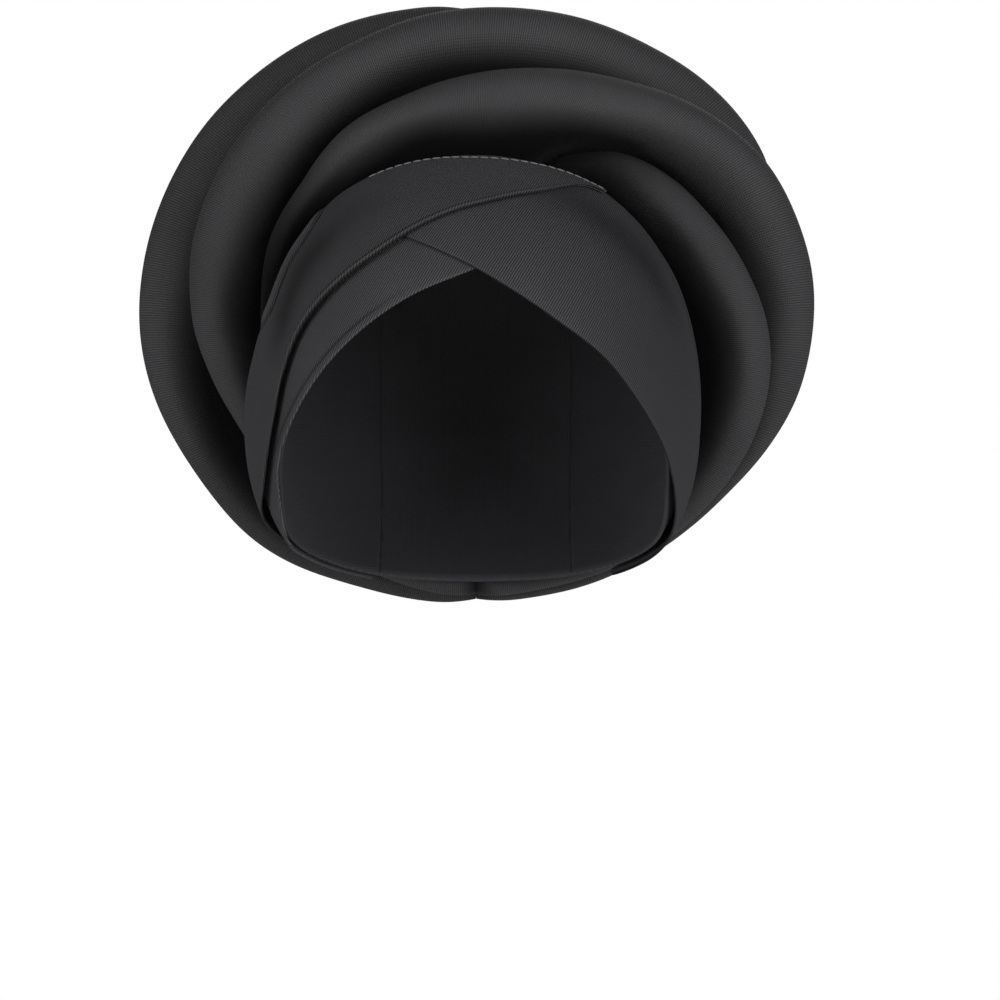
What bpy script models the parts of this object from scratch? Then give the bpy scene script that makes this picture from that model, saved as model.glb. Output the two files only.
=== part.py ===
"""A pre-tied twisted turban head wrap, as it sits on a head.

A fitted cap covers the head. Three flat wraps cross over the forehead on top of it, and four padded
rolls coil round the back of the cap from nape to nape, each one starting close to the head and
ending outside the next. Metres, +Z up. The wearer looks along -Y, and +X is on the wearer's left.
The origin is the top of the head, inside the cap.
"""

import math
from collections import namedtuple

import bmesh
import bpy
from mathutils import Vector

MM = 0.001

# The head that the cap is cut for: a squarish ellipsoid, widest at the temples.
HEAD_HALF_WIDTH = 75.5 * MM
HEAD_HALF_LENGTH = 97 * MM
CROWN_RISE = 94 * MM  # from the widest level up to the crown
NAPE_DROP = 70 * MM  # from the widest level down, if the form closed below
HEAD_POWER = 2.2  # 2 is a true ellipsoid, and more is squarer
HEAD_CENTRE = Vector((0, 0, -CROWN_RISE))

# The cloth, and how the layers lie on the head.
CLOTH = 1.3 * MM
LAYER_GAP = 0.35 * MM
LAYER = CLOTH + LAYER_GAP
HEM_WIDTH = 5 * MM  # the rolled fold along the lower edge of the top wrap
HEM_RISE = 2.4 * MM
HEM_SHAPE = (0.5, 1, 0.75)  # shares of that rise, from the edge inwards
HEM_MOST = 0.6  # the fold's largest share of the wrap's width, where the wrap is narrow

# The coil of rolls runs round a line along Y, at this height.
COIL_Z = -60 * MM
ROLL_GAP = 0.4 * MM
ROLL_POWER = 2.3
ROLL_LEAN = 0.35  # the rolls lean out and forward: depth lost for each mm of reach
LEAN_REACH = 105 * MM  # where a roll lies at the depth that its table says
TURN_STEP = 6  # degrees between two sections of a roll
ROLL_SIDES = 16
THINNEST_ROLL = 2 * MM
NAPE_SEAM = 0.2  # degrees cut from each end at the nape

COLOUR = (0.034, 0.034, 0.037, 1)

# The cap is cut in a middle panel, from the forehead over the crown to the nape, and two sides.
CAP_SEAM = 36 * MM

# The cap's edge. Longitude is 0 at the forehead and 180 at the nape, latitude is 90 at the crown.
CAP_EDGE = (  # longitude, latitude, in degrees
    (0, 33.5),
    (16, 26),
    (32, 14),
    (45, 1.5),
    (53, -8),
    (60, -19),
    (75, -28.5),
    (90, -33),
    (120, -38),
    (150, -41),
    (180, -42),
)

# Each wrap, a row for each station along it: where its lower and its upper edge lie, in degrees.
# The left side of the picture is the wearer's right, at negative longitudes.
LEFT_WRAP = (  # lower longitude, lower latitude, upper longitude, upper latitude
    (14, 36.5, 10, 47),
    (0.4, 30.3, -3, 44),
    (-15.5, 23.4, -21, 41),
    (-31.7, 11.9, -42, 29),
    (-44.7, -1, -60, 13),
    (-52.6, -10.3, -73, -1),
    (-60, -22, -88, -9),
    (-78, -33, -104, -12),
    (-105, -37.2, -117, -19),
    (-130, -40, -135, -32.5),
    (-144, -41.2, -145, -38.5),
)
RIGHT_WRAP = (
    (-22, 40, -26, 47),
    (-15.2, 36.9, -18, 52),
    (-7, 33.4, -4, 58),
    (0.4, 29.8, 14, 63),
    (7.8, 25.3, 34, 65),
    (17.2, 19.1, 52, 60),
    (27.4, 12.2, 66, 51),
    (36.5, 3.6, 78, 41),
    (46.6, -6.4, 86, 28),
    (52, -12, 91, 14),
    (60, -19, 97, 1),
    (72, -26.5, 104, -9),
    (86, -31.8, 112, -18),
    (101, -36, 119, -27),
    (116, -38.5, 127, -34),
    (130, -40, 133, -38),
)
TOP_WRAP = (
    (51, 54.5, 54, 55.5),
    (42, 55.5, 46, 58.5),
    (21.7, 51.5, 27, 65),
    (6, 45.6, 3, 67.6),
    (-3.2, 41.5, -20, 67),
    (-13.2, 36.9, -42, 63.5),
    (-21.5, 32, -54, 57),
    (-28.2, 27.1, -60, 50),
    (-35.5, 20.4, -64, 42),
    (-40.7, 15.6, -66.5, 33),
    (-45, 9, -70, 24.5),
    (-48, 0, -78, 14.5),
    (-52, -8, -89, 4),
    (-60, -16, -101, -6),
    (-78, -23, -110, -14),
    (-100, -28, -118, -21),
    (-116, -31, -124, -26.5),
)

# Each roll, a row for each section. The turn runs clockwise in the picture: 0 at the nape, 90 at the
# left side of the picture, 180 at the crown. Sizes in mm: how far the roll reaches from the coil's
# line, its depth behind the crown, half its thickness front to back, and its height.
BACK_ROLL = (  # turn, reach, depth, half thickness, height
    (0, 100, 97, 11, 34),
    (24, 104.5, 94, 14, 40),
    (46, 113.3, 84, 18, 46),
    (66, 117.5, 73, 20, 52),
    (90, 123.2, 61, 21, 60),
    (120, 125, 63, 21, 66),
    (150, 123.8, 70, 20, 70),
    (174, 120.6, 76, 19, 70),
    (186, 117, 79, 18, 68),
    (216, 106, 86, 14, 52),
    (240, 95, 91, 9, 32),
    (252, 86, 94, 4, 14),
)
MIDDLE_ROLL = (
    (0, 97, 77, 11, 30),
    (24, 96, 70, 14, 34),
    (44, 94, 58, 18, 40),
    (64, 92, 38, 20, 50),
    (80, 97, 27, 21, 56),
    (90, 101.5, 23, 22, 60),
    (110, 108.8, 24, 22, 66),
    (138, 114, 31, 21.5, 70),
    (160, 116, 38, 21, 70),
    (180, 117.8, 43, 21, 70),
    (210, 122.1, 51, 21, 70),
    (228, 124.9, 57, 20, 70),
    (240, 124.4, 63, 19, 68),
    (252, 118.5, 71, 17, 60),
    (270, 108, 82, 13, 42),
    (290, 98, 92, 8, 24),
    (306, 92, 98, 4, 12),
)
FRONT_ROLL = (
    (84, 77, -5, 3, 8),
    (98, 78.7, -4, 6, 20),
    (117, 84, -1, 12, 40),
    (140, 86.5, 2, 17, 50),
    (163, 90.5, 4, 20, 50),
    (181, 93.6, 5, 21, 50),
    (195, 98.8, 7, 21.5, 56),
    (210, 106.4, 11, 22, 60),
    (225, 114.7, 18, 22, 62),
    (240, 122, 28, 22, 64),
    (252, 124.3, 37, 21, 64),
    (262, 125, 44, 20.5, 62),
    (272, 124, 50, 20, 60),
    (281, 121.8, 56, 19.5, 54),
    (290, 117.8, 62, 19, 48),
    (300, 113.2, 70, 18, 46),
    (318, 107.5, 83, 16, 42),
    (342, 102, 94, 13, 38),
    (360, 100, 97, 11, 34),
)
INNER_ROLL = (
    (204, 68, 2, 3.5, 7),
    (214, 82, 3, 8, 26),
    (220, 87.2, 4, 12, 30),
    (232, 93, 6, 16, 40),
    (246, 99.3, 9, 18, 44),
    (262, 104.3, 12, 19, 48),
    (278, 108, 19, 19, 48),
    (290, 108.5, 29, 18, 44),
    (303, 107, 44, 16, 40),
    (320, 103, 60, 14, 34),
    (342, 98, 72, 12, 30),
    (360, 97, 77, 11, 30),
)
ROLLS = {  # from the front of the coil to its back
    "inner_roll": INNER_ROLL,
    "front_roll": FRONT_ROLL,
    "middle_roll": MIDDLE_ROLL,
    "back_roll": BACK_ROLL,
}

Oval = namedtuple("Oval", "reach depth half_height half_width")


def between_rows(table, place):
    """The columns of a table at a place in its first column, on a smooth curve through the rows."""
    keys = [row[0] for row in table]
    last = max(i for i in range(len(keys) - 1) if keys[i] <= place or i == 0)
    before, after = table[last], table[last + 1]
    span = after[0] - before[0]
    share = (place - before[0]) / span

    def slope(i, column):
        low, high = table[max(i - 1, 0)], table[min(i + 1, len(table) - 1)]
        return (high[column] - low[column]) / (high[0] - low[0]) * span

    def value(column):
        s, a, b = share, before[column], after[column]
        rise, fall = slope(last, column), slope(last + 1, column)
        return (
            a * (2 * s**3 - 3 * s**2 + 1)
            + b * (3 * s**2 - 2 * s**3)
            + rise * (s**3 - 2 * s**2 + s)
            + fall * (s**3 - s**2)
        )

    return [value(column) for column in range(1, len(before))]


def direction(longitude, latitude):
    """The unit vector from the head's centre, with angles in degrees."""
    around, up = math.radians(longitude), math.radians(latitude)
    return Vector(
        (math.cos(up) * math.sin(around), -math.cos(up) * math.cos(around), math.sin(up))
    )


def form_value(point, lift):
    """Below 1 inside the head form grown by lift, and above 1 outside it."""
    x, y, z = point - HEAD_CENTRE
    height = CROWN_RISE if z > 0 else NAPE_DROP
    return (
        abs(x / (HEAD_HALF_WIDTH + lift)) ** HEAD_POWER
        + abs(y / (HEAD_HALF_LENGTH + lift)) ** HEAD_POWER
        + abs(z / (height + lift)) ** HEAD_POWER
    )


def on_head(way, lift):
    """The point of the grown head form in a direction from its centre."""
    return HEAD_CENTRE + way / form_value(HEAD_CENTRE + way, lift) ** (1 / HEAD_POWER)


def material(name):
    made = bpy.data.materials.new(name)
    made.use_nodes = True
    shader = made.node_tree.nodes["Principled BSDF"]
    shader.inputs["Base Color"].default_value = COLOUR
    shader.inputs["Roughness"].default_value = 0.85
    shader.inputs["Metallic"].default_value = 0
    return made


def laid_grid(along, across, place):
    """A grid of along by across faces, each corner set by place(u, v) and the equal ones joined."""
    made = bmesh.new()
    bmesh.ops.create_grid(made, x_segments=along, y_segments=across, size=1)
    for vertex in made.verts:
        u, v = (vertex.co.x + 1) / 2, (vertex.co.y + 1) / 2
        vertex.co = place(u, v)
    bmesh.ops.remove_doubles(made, verts=made.verts, dist=0.02 * MM)
    return made


def finished(name, made, collection):
    """The bmesh as an object of its own, smooth and with its own material."""
    mesh = bpy.data.meshes.new(name)
    made.to_mesh(mesh)
    made.free()
    mesh.shade_smooth()
    mesh.materials.append(material(name))
    thing = bpy.data.objects.new(name, mesh)
    collection.objects.link(thing)
    return thing


def face_outward(made):
    """Turns an open sheet so that its faces look away from the head."""
    made.normal_update()
    looks_out = sum(
        face.normal.dot(face.calc_center_median() - HEAD_CENTRE) for face in made.faces
    )
    if looks_out < 0:
        bmesh.ops.reverse_faces(made, faces=made.faces)


def thicken(thing):
    """Gives an open sheet its cloth, on the side away from the head."""
    wall = thing.modifiers.new("cloth", "SOLIDIFY")
    wall.thickness = CLOTH
    wall.offset = 1


def build_cap_panel(collection, name, low=None, high=None):
    """A panel of the cap between two seams: the cap is a dome, open over the face and below."""
    columns, rows = 44, 10

    def place(u, v):
        longitude = 360 * u
        (edge,) = between_rows(CAP_EDGE, min(longitude, 360 - longitude))
        return on_head(direction(longitude, edge + (90 - edge) * v), 0)

    made = laid_grid(columns, rows, place)
    for seam, side in ((low, 1), (high, -1)):
        if seam is not None:
            bmesh.ops.bisect_plane(
                made,
                geom=[*made.verts, *made.edges, *made.faces],
                plane_co=(seam + side * LAYER_GAP / 2, 0, 0),
                plane_no=(side, 0, 0),
                clear_inner=True,
            )
    face_outward(made)
    thicken(finished(name, made, collection))


def wrap_edges(rows, share):
    """The directions of a wrap's lower and upper edge at a share of its length."""
    numbered = [(i, *direction(*row[:2]), *direction(*row[2:])) for i, row in enumerate(rows)]
    values = between_rows(numbered, share * (len(rows) - 1))
    return Vector(values[:3]), Vector(values[3:])


def build_wrap(collection, name, rows, layer, stations, across, hem=False):
    """A flat band of cloth on the head, on top of the layers below it."""
    folds = len(HEM_SHAPE)

    def place(u, v):
        lower, upper = wrap_edges(rows, u)
        lift = layer * LAYER
        step = round(v * across)
        if hem:
            width = (on_head(upper.normalized(), 0) - on_head(lower.normalized(), 0)).length
            fold = min(HEM_WIDTH / width, HEM_MOST)
            if step < folds:
                v = fold * step / folds
                lift += HEM_RISE * HEM_SHAPE[step]
            else:
                v = fold + (1 - fold) * (step - folds) / (across - folds)
        return on_head(lower.lerp(upper, v).normalized(), lift)

    made = laid_grid(stations, across, place)
    face_outward(made)
    thicken(finished(name, made, collection))


def coil_point(turn, reach, depth):
    """A point by its turn round the coil, its distance from the coil's line and its depth."""
    angle = math.radians(270 - turn)
    depth += ROLL_LEAN * (LEAN_REACH - reach)
    return Vector((reach * math.cos(angle), depth, COIL_Z + reach * math.sin(angle)))


def clear_of_cap(turn, reach, depth):
    """True where a point of the coil is outside the cap with the gap that rolls keep to it."""
    return form_value(coil_point(turn, reach, depth), CLOTH + ROLL_GAP) > 1


def last_clear(is_clear, clear, blocked):
    """The value next to the change from clear to blocked, between the two values given."""
    for _ in range(16):
        middle = (clear + blocked) / 2
        if is_clear(middle):
            clear = middle
        else:
            blocked = middle
    return clear


def cap_reach(turn, depth, start=130 * MM, step=4 * MM):
    """How far the cap lies from the coil's line there, or 0 where it is out of the way."""
    reach = start
    while reach > 0 and clear_of_cap(turn, reach, depth):
        reach -= step
    if reach <= 0:
        return 0
    return last_clear(lambda r: clear_of_cap(turn, r, depth), reach + step, reach)


def roll_ovals(turn):
    """The oval of each roll that is there at a turn, standing on the cap where it can reach it."""
    ovals = {}
    for name, table in ROLLS.items():
        if table[0][0] <= turn <= table[-1][0]:
            reach, depth, half_width, height = (x * MM for x in between_rows(table, turn))
            foot = max(cap_reach(turn, depth), reach - height)
            foot = min(foot, reach - THINNEST_ROLL)
            ovals[name] = Oval((reach + foot) / 2, depth, (reach - foot) / 2, half_width)
    return ovals


def oval_radius(oval, out, back):
    """The distance from an oval's centre to its outline in a direction."""
    shape = abs(out / oval.half_height) ** ROLL_POWER + abs(back / oval.half_width) ** ROLL_POWER
    return shape ** (-1 / ROLL_POWER)


def section(turn, name, ovals):
    """A roll's outline at a turn: its oval, pressed flat against the other rolls and the cap."""
    own = ovals[name]
    walls = []
    for other_name, other in ovals.items():
        if other_name != name:
            away = Vector((other.reach - own.reach, other.depth - own.depth))
            apart = away.length
            away.normalize()
            mine = oval_radius(own, *away)
            theirs = oval_radius(other, *away)
            meet = min(mine, apart * mine / (mine + theirs) - ROLL_GAP / 2)
            walls.append((away, meet))

    points = []
    for side in range(ROLL_SIDES):
        angle = 2 * math.pi * side / ROLL_SIDES
        out, back = math.cos(angle), math.sin(angle)

        def spot(radius):
            return turn, own.reach + radius * out, own.depth + radius * back

        radius = oval_radius(own, out, back)
        for away, meet in walls:
            facing = away.dot((out, back))
            if radius * facing > meet:
                radius = meet / facing
        if not clear_of_cap(*spot(radius)):
            radius = last_clear(lambda r: clear_of_cap(*spot(r)), 0, radius)
        points.append(coil_point(*spot(radius)))
    return points


def build_roll(collection, name):
    """A padded roll, lofted through its sections, with a flat end at each end."""
    first, last = ROLLS[name][0][0], ROLLS[name][-1][0]
    stations = round((last - first) / TURN_STEP)
    sections = []
    for station in range(stations + 1):
        turn = first + (last - first) * station / stations
        turn = min(max(turn, NAPE_SEAM), 360 - NAPE_SEAM)
        sections.append(section(turn, name, roll_ovals(turn)))

    def place(u, v):
        return sections[round(u * stations)][round(v * ROLL_SIDES) % ROLL_SIDES]

    made = laid_grid(stations, ROLL_SIDES, place)
    open_edges = [edge for edge in made.edges if edge.is_boundary]
    bmesh.ops.holes_fill(made, edges=open_edges, sides=0)
    bmesh.ops.recalc_face_normals(made, faces=made.faces)
    finished(name, made, collection)


def main():
    for thing in list(bpy.data.objects):
        bpy.data.objects.remove(thing)
    turban = bpy.data.collections.new("twisted_turban")
    bpy.context.scene.collection.children.link(turban)
    build_cap_panel(turban, "cap_middle_panel", low=-CAP_SEAM, high=CAP_SEAM)
    build_cap_panel(turban, "cap_right_side", high=-CAP_SEAM)
    build_cap_panel(turban, "cap_left_side", low=CAP_SEAM)
    build_wrap(turban, "left_wrap", LEFT_WRAP, layer=1, stations=34, across=5)
    build_wrap(turban, "right_wrap", RIGHT_WRAP, layer=2, stations=38, across=7)
    build_wrap(turban, "top_wrap", TOP_WRAP, layer=3, stations=38, across=8, hem=True)
    for name in ROLLS:
        build_roll(turban, name)


main()
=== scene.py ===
# %% [markdown]
# A pre-tied turban is a hat that looks like one long cloth wound round the head. A fitted cap sits
# on the head, three flat wraps cross over the forehead, and four padded rolls coil round the back.
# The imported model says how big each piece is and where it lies. Here every piece is made again in
# finer cloth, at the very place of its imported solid, and the solids are hidden behind them.

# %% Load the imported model
import math

import bmesh
import bpy
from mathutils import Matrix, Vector, noise
from mathutils.bvhtree import BVHTree


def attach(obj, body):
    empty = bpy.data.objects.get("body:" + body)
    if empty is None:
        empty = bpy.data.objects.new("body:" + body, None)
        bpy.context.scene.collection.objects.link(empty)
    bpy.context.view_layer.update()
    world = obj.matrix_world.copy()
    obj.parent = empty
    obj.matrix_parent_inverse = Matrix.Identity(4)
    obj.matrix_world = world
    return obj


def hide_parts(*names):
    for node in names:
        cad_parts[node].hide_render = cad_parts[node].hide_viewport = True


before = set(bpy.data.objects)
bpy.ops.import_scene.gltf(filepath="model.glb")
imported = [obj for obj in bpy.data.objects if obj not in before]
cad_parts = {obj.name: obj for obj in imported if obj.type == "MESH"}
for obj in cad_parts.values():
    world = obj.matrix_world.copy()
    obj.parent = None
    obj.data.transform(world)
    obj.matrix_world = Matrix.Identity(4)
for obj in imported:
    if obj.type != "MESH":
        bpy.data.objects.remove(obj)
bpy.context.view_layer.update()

MM = 0.001
print("packed pieces:", ", ".join(sorted(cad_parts)))

# %% [markdown]
# The camera comes first, so that each piece can be judged as soon as it is made. The picture is a
# portrait taken from straight ahead with a long lens: the rolls behind are hardly smaller than the
# wraps in front. A lens of 172 mm from 1.7 m away draws the turban at that size and depth.

# %% Camera
portrait = bpy.data.cameras.new("portrait_camera")
portrait.sensor_width = 36
portrait.lens = 171.9
stand = bpy.data.objects.new("portrait_camera", portrait)
stand.location = (9 * MM, -1.7, -121 * MM)
stand.rotation_euler = (math.radians(90), 0, 0)
bpy.context.scene.collection.objects.link(stand)
bpy.context.scene.camera = stand
print("camera at", [round(x, 3) for x in stand.location], "lens", round(portrait.lens, 1), "mm")

# %% [markdown]
# Dark cloth shows its form by soft light, and by painted shade in its folds and grooves. Two
# large softboxes stand in front, hardly above the turban, the right one slightly stronger, so every
# roll is brightest along its outer ridge, while painted shade darkens its inner side. A third one
# stands behind: it lights the back of the rolls, and their own height keeps it off the wraps. The
# white room adds only a little, because light from all sides would fill the grooves. The Standard
# view keeps white as white, which suits a picture taken on a white ground.

# %% Studio light
def softbox(name, place, aim, size, watts):
    lamp = bpy.data.lights.new(name, "AREA")
    lamp.shape = "DISK"
    lamp.size = size
    lamp.energy = watts
    holder = bpy.data.objects.new(name, lamp)
    holder.location = place
    holder.rotation_euler = (Vector(aim) - Vector(place)).to_track_quat("-Z", "Y").to_euler()
    bpy.context.scene.collection.objects.link(holder)


TURBAN_MIDDLE = (0, 0, -0.05)
SOFTBOX_SIZE = 1.4
softbox("left_softbox", (-1.35, -1.7, 0.05), TURBAN_MIDDLE, SOFTBOX_SIZE, 29)
softbox("right_softbox", (1.35, -1.7, 0.05), TURBAN_MIDDLE, SOFTBOX_SIZE, 35)
softbox("back_softbox", (0.2, 1.9, 0.95), TURBAN_MIDDLE, SOFTBOX_SIZE, 16)

room = bpy.data.worlds.new("white_room")
room.use_nodes = True
room_nodes = room.node_tree.nodes
room_nodes.clear()
seen = room_nodes.new("ShaderNodeBackground")
seen.inputs["Color"].default_value = (1, 1, 1, 1)
lit = room_nodes.new("ShaderNodeBackground")
lit.inputs["Color"].default_value = (0.95, 0.97, 1, 1)
lit.inputs["Strength"].default_value = 0.08
ray = room_nodes.new("ShaderNodeLightPath")
either = room_nodes.new("ShaderNodeMixShader")
out = room_nodes.new("ShaderNodeOutputWorld")
room.node_tree.links.new(ray.outputs["Is Camera Ray"], either.inputs[0])
room.node_tree.links.new(lit.outputs[0], either.inputs[1])
room.node_tree.links.new(seen.outputs[0], either.inputs[2])
room.node_tree.links.new(either.outputs[0], out.inputs["Surface"])
bpy.context.scene.world = room
bpy.context.scene.view_settings.view_transform = "Standard"

# %% [markdown]
# The turban is held up, as on a head, so the floor lies well below it. A round pale floor throws
# a little light back up. It is small enough to stay out of the picture, where the ground is white.

# %% Floor
FLOOR_DROP = 620 * MM
FLOOR_RADIUS = 2.2
disc = bmesh.new()
bmesh.ops.create_circle(disc, cap_ends=True, segments=96, radius=FLOOR_RADIUS)
bmesh.ops.translate(disc, verts=disc.verts, vec=(0, 0, -FLOOR_DROP))
floor_mesh = bpy.data.meshes.new("pale_floor")
disc.to_mesh(floor_mesh)
disc.free()
floor = bpy.data.objects.new("pale_floor", floor_mesh)
bpy.context.scene.collection.objects.link(floor)
floor_paint = bpy.data.materials.new("pale_floor_paint")
floor_paint.use_nodes = True
painted = floor_paint.node_tree.nodes["Principled BSDF"]
painted.inputs["Base Color"].default_value = (0.82, 0.82, 0.82, 1)
painted.inputs["Roughness"].default_value = 0.7
floor_mesh.materials.append(floor_paint)
print("floor", round(FLOOR_DROP / MM), "mm below the crown")

# %% [markdown]
# The cloth is a fine ribbed weave: thick threads lie side by side, less than a millimetre
# apart, with thin ones across them. Near the camera the ribs show as a fine diagonal grain, and
# further off as a soft sheen. Two Wave textures give ribs and cross threads in the piece's own flat
# cloth coordinates, so they follow the cloth and keep their real size. They drive both the bump and
# a slight change of colour. Noise breaks them up, because no weave is perfectly even, a broad noise
# makes some patches a little worn, and a piece's own edge attribute lightens its rubbed edges. A
# painted-shade attribute multiplies the colour: it is painted shade in folds, creases, grooves and
# behind the rolls, and above 1 a painted highlight. It is 1 all over the cap.

# %% A ribbed cloth
def wave_scale(pitch):
    """The Wave texture's scale that repeats once for each pitch."""
    return math.pi / 10 / pitch


def ribbed_cloth(name, colour, rib, thread, lean, relief, sheen):
    """A cloth with ribs and threads of these widths, its ribs leaning by lean degrees."""
    cloth = bpy.data.materials.new(name)
    cloth.use_nodes = True
    nodes, links = cloth.node_tree.nodes, cloth.node_tree.links
    shader = nodes["Principled BSDF"]

    flat = nodes.new("ShaderNodeUVMap")
    flat.uv_map = "cloth"
    turned = nodes.new("ShaderNodeMapping")
    turned.inputs["Rotation"].default_value = (0, 0, math.radians(lean))
    links.new(flat.outputs["UV"], turned.inputs["Vector"])

    def wave(axis, pitch, waver):
        band = nodes.new("ShaderNodeTexWave")
        band.bands_direction = axis
        band.inputs["Scale"].default_value = wave_scale(pitch)
        band.inputs["Distortion"].default_value = waver
        band.inputs["Detail"].default_value = 1
        band.inputs["Detail Scale"].default_value = 0.8
        links.new(turned.outputs["Vector"], band.inputs["Vector"])
        return band.outputs["Fac"]

    def clouds(size, detail):
        puff = nodes.new("ShaderNodeTexNoise")
        puff.inputs["Scale"].default_value = 1 / size
        puff.inputs["Detail"].default_value = detail
        place = nodes.new("ShaderNodeTexCoord")
        links.new(place.outputs["Object"], puff.inputs["Vector"])
        return puff.outputs["Fac"]

    def sum_of(first, first_share, second, second_share):
        scaled = nodes.new("ShaderNodeMath")
        scaled.operation = "MULTIPLY"
        links.new(first, scaled.inputs[0])
        scaled.inputs[1].default_value = first_share
        added = nodes.new("ShaderNodeMath")
        added.operation = "MULTIPLY_ADD"
        links.new(second, added.inputs[0])
        added.inputs[1].default_value = second_share
        links.new(scaled.outputs[0], added.inputs[2])
        return added.outputs[0]

    def between(fac, low, high):
        spread = nodes.new("ShaderNodeMapRange")
        spread.clamp = False
        spread.inputs["To Min"].default_value = low
        spread.inputs["To Max"].default_value = high
        links.new(fac, spread.inputs["Value"])
        return spread.outputs["Result"]

    ribs = wave("X", rib, 1.1)
    weave = sum_of(ribs, 0.72, wave("Y", thread, 0.5), 0.28)
    fuzz = clouds(0.35 * MM, 2)
    bump = nodes.new("ShaderNodeBump")
    bump.inputs["Strength"].default_value = min(1, relief)
    bump.inputs["Distance"].default_value = 0.28 * MM
    links.new(sum_of(weave, 0.85, fuzz, 0.15), bump.inputs["Height"])
    links.new(bump.outputs["Normal"], shader.inputs["Normal"])

    rubbed = nodes.new("ShaderNodeAttribute")
    rubbed.attribute_name = "edge"
    threads = between(weave, 1 - 0.7 * relief, 1 + 0.65 * relief)
    worn = between(clouds(28 * MM, 3), -0.16, 0.16)
    shade = sum_of(threads, 1, worn, 1)
    shade = sum_of(shade, 1, between(fuzz, -0.2, 0.2), 1)
    shade = sum_of(shade, 1, rubbed.outputs["Fac"], 0.1)
    # Painted shade: the colour is multiplied by the painted-shade attribute, which darkens folds,
    # grooves and the cloth behind the rolls, and lifts the top wrap's rolled lip as a painted
    # highlight.
    painted_shade = nodes.new("ShaderNodeAttribute")
    painted_shade.attribute_name = "painted_shade"
    with_painted_shade = nodes.new("ShaderNodeMath")
    with_painted_shade.operation = "MULTIPLY"
    links.new(shade, with_painted_shade.inputs[0])
    links.new(painted_shade.outputs["Fac"], with_painted_shade.inputs[1])
    dyed = nodes.new("ShaderNodeVectorMath")
    dyed.operation = "SCALE"
    dyed.inputs[0].default_value = colour
    links.new(with_painted_shade.outputs[0], dyed.inputs["Scale"])
    links.new(dyed.outputs["Vector"], shader.inputs["Base Color"])
    links.new(between(weave, 0.86, 0.7), shader.inputs["Roughness"])
    shader.inputs["Specular IOR Level"].default_value = 0.14
    shader.inputs["Sheen Weight"].default_value = sheen
    shader.inputs["Sheen Roughness"].default_value = 0.45
    shader.inputs["Sheen Tint"].default_value = (0.9, 0.9, 1, 1)
    return cloth


RIB, THREAD, PLAIN = 0.82 * MM, 0.5 * MM, 0.7 * MM
# The three wraps are one cloth. Their greys differ as painted light: each is set to the brightness
# that the light gives that wrap, the left one lightest.
LEFT_GREY = (0.045, 0.045, 0.0475)
RIGHT_GREY = (0.043, 0.043, 0.0455)
TOP_GREY = (0.041, 0.041, 0.0432)
ROLL_GREY = (0.0445, 0.0445, 0.0465)
CAP_GREY = (0.03, 0.03, 0.033)
left_cloth = ribbed_cloth("ribbed_left_cloth", LEFT_GREY, RIB, THREAD, 28, 1.15, 0.03)
wrap_cloth = ribbed_cloth("ribbed_wrap_cloth", RIGHT_GREY, RIB, THREAD, 30, 1.25, 0.03)
top_cloth = ribbed_cloth("ribbed_top_cloth", TOP_GREY, RIB, THREAD, 23, 1.15, 0.03)
roll_cloth = ribbed_cloth("ribbed_roll_cloth", ROLL_GREY, RIB, THREAD, 0, 0.7, 0.02)
cap_cloth = ribbed_cloth("plain_cap_cloth", CAP_GREY, PLAIN, PLAIN, 0, 0.35, 0.04)
print("cloths:", [m.name for m in (left_cloth, wrap_cloth, top_cloth, roll_cloth, cap_cloth)])

# %% [markdown]
# All flat cloth lies on one form, the head that the cap is cut for: a squarish ellipsoid, widest at
# the temples. A place on it is a direction from the head's centre, given as a longitude, 0 at the
# forehead and 180 at the nape, and a latitude, 90 at the crown. The form grows by a lift for each
# layer of cloth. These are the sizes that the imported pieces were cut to.

# %% The head form
HEAD = Vector((75.5, 97, 94)) * MM  # half width, half length, and the rise to the crown
NAPE_DROP = 70 * MM
HEAD_POWER = 2.2
HEAD_CENTRE = Vector((0, 0, -HEAD.z))
CLOTH = 1.3 * MM
LAYER = 1.65 * MM  # one cloth and the gap to the next


def direction(longitude, latitude):
    """The direction of a place on the head, seen from the head's centre."""
    around, up = math.radians(longitude), math.radians(latitude)
    return Vector(
        (math.cos(up) * math.sin(around), -math.cos(up) * math.cos(around), math.sin(up))
    )


def on_head(way, lift):
    """The point of the head form, grown by lift, in a direction from its centre."""
    height = HEAD.z if way.z > 0 else NAPE_DROP
    halves = (HEAD.x + lift, HEAD.y + lift, height + lift)
    value = sum(abs(along / half) ** HEAD_POWER for along, half in zip(way, halves))
    return HEAD_CENTRE + way / value ** (1 / HEAD_POWER)


print("head form", [round(2 * half / MM) for half in HEAD[:2]], "mm wide and long")

# %% [markdown]
# Shapes that change along a band or a roll are kept in small tables, a row for each measured place.
# between_rows draws a smooth curve through the rows, as a maker bends a batten through a few pins.
# eased gives the soft start and end of a fold.

# %% Smooth tables
def between_rows(table, place):
    """The columns of a table at a place in its first column, on a smooth curve through the rows."""
    place = min(max(place, table[0][0]), table[-1][0])
    last = max(i for i in range(len(table) - 1) if table[i][0] <= place or i == 0)
    before, after = table[last], table[last + 1]
    span = after[0] - before[0]
    share = (place - before[0]) / span

    def slope(i, column):
        low, high = table[max(i - 1, 0)], table[min(i + 1, len(table) - 1)]
        return (high[column] - low[column]) / (high[0] - low[0]) * span

    def value(column):
        s = share
        ends = before[column] * (2 * s**3 - 3 * s**2 + 1) + after[column] * (3 * s**2 - 2 * s**3)
        leaving = slope(last, column) * (s**3 - 2 * s**2 + s)
        arriving = slope(last + 1, column) * (s**3 - s**2)
        return ends + leaving + arriving

    return [value(column) for column in range(1, len(before))]


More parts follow.
